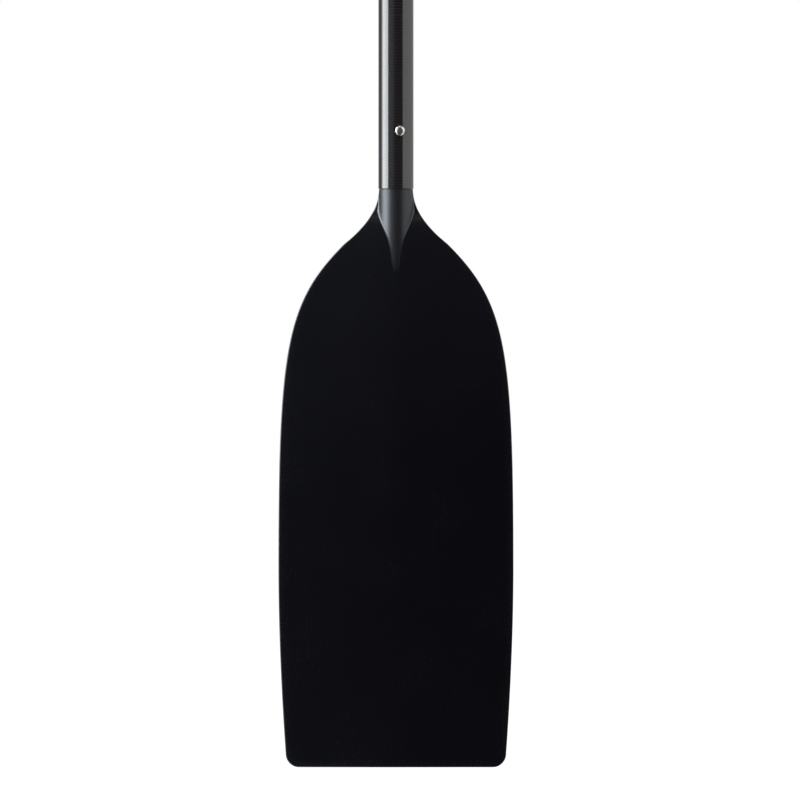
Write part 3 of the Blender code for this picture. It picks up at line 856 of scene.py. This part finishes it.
def make_clip(name, node, body, seam, finish):
    """A strip bent to a U, drilled for the rivet of its button."""
    bend = clip_reach() - CLIP_THICKNESS / 2
    top = CLIP_END_ABOVE_BUTTON
    low = -CLIP_STRAIGHT_BELOW_BUTTON
    path = [(bend, top), (bend, low)]
    for step in range(1, CLIP_BEND_STEPS):
        angle = math.pi * step / CLIP_BEND_STEPS
        path.append((bend * math.cos(angle), low - bend * math.sin(angle)))
    path += [(-bend, low), (-bend, top)]
    bm = bmesh.new()
    line = [bm.verts.new((-CLIP_WIDTH / 2, -out, height)) for out, height in path]
    edges = [bm.edges.new(pair) for pair in zip(line, line[1:])]
    swept = extrude(bm, edges)[1]
    bmesh.ops.translate(bm, vec=(CLIP_WIDTH, 0, 0), verts=swept)
    bmesh.ops.recalc_face_normals(bm, faces=bm.faces)
    bmesh.ops.translate(bm, vec=(0, 0, seam + BUTTON_HEIGHT), verts=bm.verts)
    bmesh.ops.solidify(bm, geom=bm.faces[:], thickness=CLIP_THICKNESS)
    bmesh.ops.recalc_face_normals(bm, faces=bm.faces)
    turn = Vector((0, -1, 0)).rotation_difference(BUTTON_DIRECTION).to_matrix()
    bmesh.ops.rotate(bm, cent=(0, 0, 0), matrix=turn, verts=bm.verts)
    soften(bm, CLIP_ROUND, 2)
    bm = drill_at_button(bm, seam, RIVET_RADIUS + GAP)
    clip = add_piece(name, bm, node, body, finish)
    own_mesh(clip)
    return clip


def make_button(name, node, body, seam, finish):
    """The button, with a flat crown and a round shoulder, riveted to the clip's front leg."""
    seat = clip_reach() + GAP
    inner = clip_reach() - CLIP_THICKNESS - GAP
    crown = TUBE_RADIUS + BUTTON_PROUD
    head = RIVET_RADIUS + RIVET_HEAD_RIM
    bend = SHOULDER_WIDTH / (math.sin(SHOULDER_FOOT_SLOPE) - math.sin(SHOULDER_TOP_SLOPE))
    profile = [(0, crown)]
    for step in range(SHOULDER_STEPS + 1):
        turn = (SHOULDER_FOOT_SLOPE - SHOULDER_TOP_SLOPE) * step / SHOULDER_STEPS
        slope = SHOULDER_TOP_SLOPE + turn
        out = bend * (math.sin(SHOULDER_FOOT_SLOPE) - math.sin(slope))
        fall = bend * (math.cos(SHOULDER_TOP_SLOPE) - math.cos(slope))
        profile.append((BUTTON_RADIUS - out, crown - fall))
    profile += [
        (BUTTON_RADIUS, seat),
        (RIVET_RADIUS, seat),
        (RIVET_RADIUS, inner),
        (head, inner),
        (head, inner - RIVET_HEAD_HEIGHT),
        (0, inner - RIVET_HEAD_HEIGHT),
    ]
    bm = turned(profile, BUTTON_STEPS)
    crease = BUTTON_RADIUS - SHOULDER_WIDTH
    rim = []
    for edge in bm.edges:
        high = all(v.co.z > crown - MERGE for v in edge.verts)
        out = all(v.co.xy.length > crease - MERGE for v in edge.verts)
        if high and out:
            rim.append(edge)
    round_off(bm, rim, CROWN_SOFTENING, CROWN_SEGMENTS)
    turn_to_button(bm, seam)
    return add_piece(name, bm, node, body, finish)


def grow(bm, face, centre, size):
    """Extrudes a face of a cage, and gives the new face its centre and size."""
    grown = bmesh.ops.extrude_discrete_faces(bm, faces=[face])["faces"][0]
    middle = grown.calc_center_median()
    for corner in grown.verts:
        ways = corner.co - middle
        corner.co = [
            place + math.copysign(span / 2, way)
            for place, span, way in zip(centre, size, ways)
        ]
    return grown


def facing(bm, direction):
    """The cage's face that lies furthest along a direction."""
    return max(bm.faces, key=lambda face: face.calc_center_median().dot(direction))


def grip_cage():
    """A coarse T about the grip's own axis: a block with two arms and a stem grown from it."""
    bm = bmesh.new()
    bmesh.ops.create_cube(bm, size=1)
    middle = GRIP_HEIGHT - GRIP_BAR_HEIGHT / 2
    bmesh.ops.scale(bm, vec=(GRIP_ROOT_WIDTH, GRIP_DEPTH, GRIP_BAR_HEIGHT), verts=bm.verts)
    bmesh.ops.translate(bm, vec=(0, 0, middle), verts=bm.verts)
    sides = [facing(bm, Vector((way, 0, 0))) for way in (-1, 1)]
    under = facing(bm, -UP)
    reach = (GRIP_WIDTH - GRIP_ROOT_WIDTH) / 2
    for way, face in zip((-1, 1), sides):
        for out in GRIP_ARM_RINGS:
            centre = (way * (GRIP_ROOT_WIDTH / 2 + reach * out), 0, middle - GRIP_END_DROOP * out)
            depth = GRIP_DEPTH + (GRIP_END_DEPTH - GRIP_DEPTH) * out
            height = GRIP_BAR_HEIGHT + (GRIP_END_HEIGHT - GRIP_BAR_HEIGHT) * out
            face = grow(bm, face, centre, (0, depth, height))
    stem = GRIP_HEIGHT - GRIP_BAR_HEIGHT
    rings = [(GRIP_FLARE_RING, GRIP_STEM_FLARE)]
    rings += [(down, 2 * TUBE_RADIUS) for down in GRIP_STEM_RINGS]
    for down, width in rings:
        under = grow(bm, under, (0, 0, stem * (1 - down)), (width, width, 0))
    return bm


def rounded(bm, levels):
    """Gives a cage as its subdivision surface."""
    mesh = bpy.data.meshes.new("cage")
    bm.to_mesh(mesh)
    bm.free()
    cage = bpy.data.objects.new("cage", mesh)
    bpy.context.scene.collection.objects.link(cage)
    surface = cage.modifiers.new("rounded", "SUBSURF")
    surface.levels = levels
    surface.render_levels = levels
    graph = bpy.context.evaluated_depsgraph_get()
    result = bmesh.new()
    result.from_mesh(cage.evaluated_get(graph).to_mesh())
    bpy.data.objects.remove(cage)
    bpy.data.meshes.remove(mesh)
    return result


def make_grip(finish):
    """The moulded cross bar, its stem and the plug that is bonded into the tube."""
    bm = rounded(grip_cage(), GRIP_ROUNDNESS)
    width = max(v.co.x for v in bm.verts)
    depth = max(v.co.y for v in bm.verts)
    top = max(v.co.z for v in bm.verts)
    factors = (GRIP_WIDTH / 2 / width, GRIP_DEPTH / 2 / depth, GRIP_HEIGHT / top)
    bmesh.ops.scale(bm, vec=factors, verts=bm.verts)
    cut_edges = bmesh.ops.bisect_plane(
        bm,
        geom=bm.verts[:] + bm.edges[:] + bm.faces[:],
        plane_co=(0, 0, GAP / 2),
        plane_no=UP,
        clear_inner=True,
    )
    rim = [part for part in cut_edges["geom_cut"] if isinstance(part, bmesh.types.BMEdge)]
    stem = GRIP_HEIGHT - GRIP_BAR_HEIGHT
    for v in bm.verts:
        out = v.co.xy.length
        if v.co.z < stem and out > 0:
            roundness = 1 - ease(v.co.z / stem)
            v.co.xy *= (out + (TUBE_RADIUS - out) * roundness) / out
    edges, verts = extrude(bm, rim)
    for v in verts:
        v.co.xy = v.co.xy.normalized() * (TUBE_BORE - GAP)
    edges, verts = extrude(bm, edges)
    for v in verts:
        v.co.z = -GRIP_PLUG_LENGTH
    bmesh.ops.contextual_create(bm, geom=edges)
    bmesh.ops.recalc_face_normals(bm, faces=bm.faces)
    bmesh.ops.translate(bm, vec=(0, 0, GRIP_SEAM), verts=bm.verts)
    return add_piece("moulded_t_grip", bm, "t_grip", "grip", finish)


def make_joint(level, below, above, seam, finishes):
    """The ferrule of a joint with its cap, clip and button, and the bulkhead above it."""
    laminate, plastic, spring, steel, foam = finishes
    button_body = f"{level}_button"
    ferrule = f"{below}_ferrule"
    make_ferrule(f"{below}_ferrule_sleeve", ferrule, below, seam, laminate)
    make_cap(f"{below}_ferrule_plug", f"{ferrule}_cap", below, seam, plastic)
    make_clip(f"{level}_clip_strip", f"{level}_spring_clip", below, seam, spring)
    make_button(f"{level}_button_dome", f"{level}_snap_button", button_body, seam, steel)
    make_bulkhead(f"{above}_foam_disc", f"{above}_bulkhead", above, seam, foam)


# Studio floor, and the drum of cards that stands on it, in metres
FLOOR_LEVEL = -0.56
FLOOR_SIZE = 60.0
TENT_RADIUS = 1.8
TENT_FOOT = -0.559
TENT_TOP = 3.2
TENT_STEPS = 96

# Colour and glow of the floor, full strength and tints of the cards, and glow of the drum's lid
FLOOR_COLOUR = 0.3
FLOOR_LIFT = 0.78
TENT_PEAK = 10.0
SOFTBOX_TINT = (0.94, 0.97, 1.0)
CARD_TINT = (1.0, 0.99, 0.965)
LID_CENTRE = 0.9
LID_RIM = 0.12

# Cards by azimuth, in degrees to the right of the camera's side, and how bright they are.
# The sole is the drum's bottom, which lights the lower edges of the buttons
TENT_WALL = [
    (-180, 0.5),
    (-150, 0.25),
    (-116, 0.2),
    (-106, 1.2),
    (-98, 4.7),
    (-88, 8.8),
    (-76, 8.0),
    (-54.2, 6.9),
    (-51.8, 0.22),
    (-38, 0.3),
    (-27, 0.35),
    (-12, 0.12),
    (-3, 0.045),
    (15, 0.025),
    (44.8, 0.03),
    (45.8, 1.15),
    (90, 0.98),
    (120, 0.62),
    (140, 0.45),
    (165, 0.4),
    (180, 0.5),
]
TENT_SOLE = [
    (-180, 0.1),
    (-105, 0.2),
    (-98, 1.2),
    (-50, 1.2),
    (-42, 0.05),
    (70, 0.02),
    (78, 0.7),
    (112, 0.65),
    (180, 0.1),
]

# Share of the wall's brightness that is left at each height, in metres
TENT_HEIGHTS = [(-0.56, 0.12), (-0.5, 0.2), (-0.3, 0.55), (-0.02, 1.0), (1.6, 1.0), (3.1, 0.2)]


def stage_piece(name, bm, paint):
    """Makes a part of the studio, which isn't part of the paddle."""
    mesh = bpy.data.meshes.new(name)
    bm.to_mesh(mesh)
    bm.free()
    mesh.materials.append(paint)
    piece = bpy.data.objects.new(name, mesh)
    bpy.context.scene.collection.objects.link(piece)
    return piece


def card_stops(cards):
    """A ring of cards as the stops of a colour ramp: from the back, round by the left."""
    stops = []
    for degrees, level in cards:
        tint = SOFTBOX_TINT if degrees < 0 else CARD_TINT
        stops.append((degrees / 360 + 0.5, [level / TENT_PEAK * part for part in tint]))
    return stops


def tent_cloth():
    """Bright and dark cards round the paddle, with a soft light overhead."""
    cloth = new_finish("tent_cloth")
    x, y, z = cloth.axes(cloth.place())
    around = cloth.maths("ARCTAN2", x, 0 - y) / (2 * math.pi) + 0.5
    wall = cloth.node("ShaderNodeValToRGB", {"stops": card_stops(TENT_WALL)}, {"Fac": around})
    sole = cloth.node("ShaderNodeValToRGB", {"stops": card_stops(TENT_SOLE)}, {"Fac": around})
    span = TENT_TOP - TENT_FOOT
    rises = [((height - TENT_FOOT) / span, [level] * 3) for height, level in TENT_HEIGHTS]
    rise = cloth.node("ShaderNodeValToRGB", {"stops": rises}, {"Fac": (z - TENT_FOOT) / span})
    wall = cloth.mix(rise, grey(0.0), wall)
    out = (x * x + y * y) ** 0.5 / TENT_RADIUS
    lid = cloth.mix(out, grey(LID_CENTRE / TENT_PEAK), grey(LID_RIM / TENT_PEAK))
    high = cloth.maths("GREATER_THAN", z, TENT_TOP - MM)
    low = cloth.maths("LESS_THAN", z, TENT_FOOT + MM)
    colour = cloth.mix(low, cloth.mix(high, wall, lid), sole)
    glow = cloth.node("ShaderNodeEmission", inputs={"Color": colour, "Strength": TENT_PEAK})
    cloth.node("ShaderNodeOutputMaterial", inputs={"Surface": glow})
    return cloth.owner


def make_tent():
    """A closed drum round the paddle that only its reflections see."""
    bm = bmesh.new()
    bmesh.ops.create_cone(
        bm,
        cap_ends=True,
        segments=TENT_STEPS,
        radius1=TENT_RADIUS,
        radius2=TENT_RADIUS,
        depth=TENT_TOP - TENT_FOOT,
    )
    bmesh.ops.translate(bm, vec=(0, 0, (TENT_TOP + TENT_FOOT) / 2), verts=bm.verts)
    tent = stage_piece("light_tent", bm, tent_cloth())
    tent.visible_camera = False
    tent.visible_diffuse = False
    tent.visible_shadow = False


def make_floor():
    """A floor that is white to the camera and in reflections, and keeps the paddle's shadow."""
    paint = new_finish("floor_paint")
    matte = paint.node("ShaderNodeBsdfDiffuse", inputs={"Color": grey(FLOOR_COLOUR)})
    path = paint.node("ShaderNodeLightPath").socket.node.outputs
    rays = [Value(paint, path[f"Is {kind} Ray"]) for kind in ("Camera", "Glossy", "Transmission")]
    seen = paint.limit(rays[0] + rays[1] + rays[2])
    lift = {"Color": grey(1.0), "Strength": seen * FLOOR_LIFT}
    glow = paint.node("ShaderNodeEmission", inputs=lift)
    surface = paint.node("ShaderNodeAddShader", inputs={0: matte, 1: glow})
    paint.node("ShaderNodeOutputMaterial", inputs={"Surface": surface})
    bm = bmesh.new()
    bmesh.ops.create_grid(bm, x_segments=1, y_segments=1, size=FLOOR_SIZE / 2)
    bmesh.ops.translate(bm, vec=(0, 0, FLOOR_LEVEL), verts=bm.verts)
    stage_piece("studio_floor", bm, paint.owner)


def make_world():
    """Plain white all round, as the background and as the light on the paddle."""
    world = bpy.data.worlds.new("studio")
    bpy.context.scene.world = world
    sky = Finish(world)
    back = sky.node("ShaderNodeBackground", inputs={"Color": grey(1.0), "Strength": 1.0})
    sky.node("ShaderNodeOutputWorld", inputs={"Surface": back})
    world.cycles_visibility.glossy = False


def make_camera():
    """A long lens, square on to the power face, that takes in the photograph's frame."""
    data = bpy.data.cameras.new("camera")
    data.sensor_width = SENSOR_WIDTH
    data.lens = SENSOR_WIDTH * CAMERA_DISTANCE / VIEW_SIDE
    data.clip_end = CAMERA_FAR_END
    camera = bpy.data.objects.new("camera", data)
    bpy.context.scene.collection.objects.link(camera)
    camera.location = VIEW_CENTRE - Vector((0, CAMERA_DISTANCE, 0))
    camera.rotation_euler = (math.pi / 2, 0, 0)
    bpy.context.scene.camera = camera


def main():
    bpy.context.scene.view_settings.view_transform = "Standard"
    make_camera()
    make_world()
    make_floor()
    make_tent()
    blade = make_blade(blade_finish())
    paint_marks(blade)
    carbon = carbon_finish()
    make_tube("wound_shaft", "shaft_tube", "shaft", 0, UPPER_SEAM, carbon)
    make_tube("wound_grip_tube", "grip_tube", "grip", UPPER_SEAM, GRIP_SEAM, carbon)
    finishes = (laminate_finish(), cap_finish(), spring_finish(), button_finish(), foam_finish())
    make_joint("lower", "blade", "shaft", 0, finishes)
    make_joint("upper", "shaft", "grip", UPPER_SEAM, finishes)
    make_grip(grip_finish())


main()
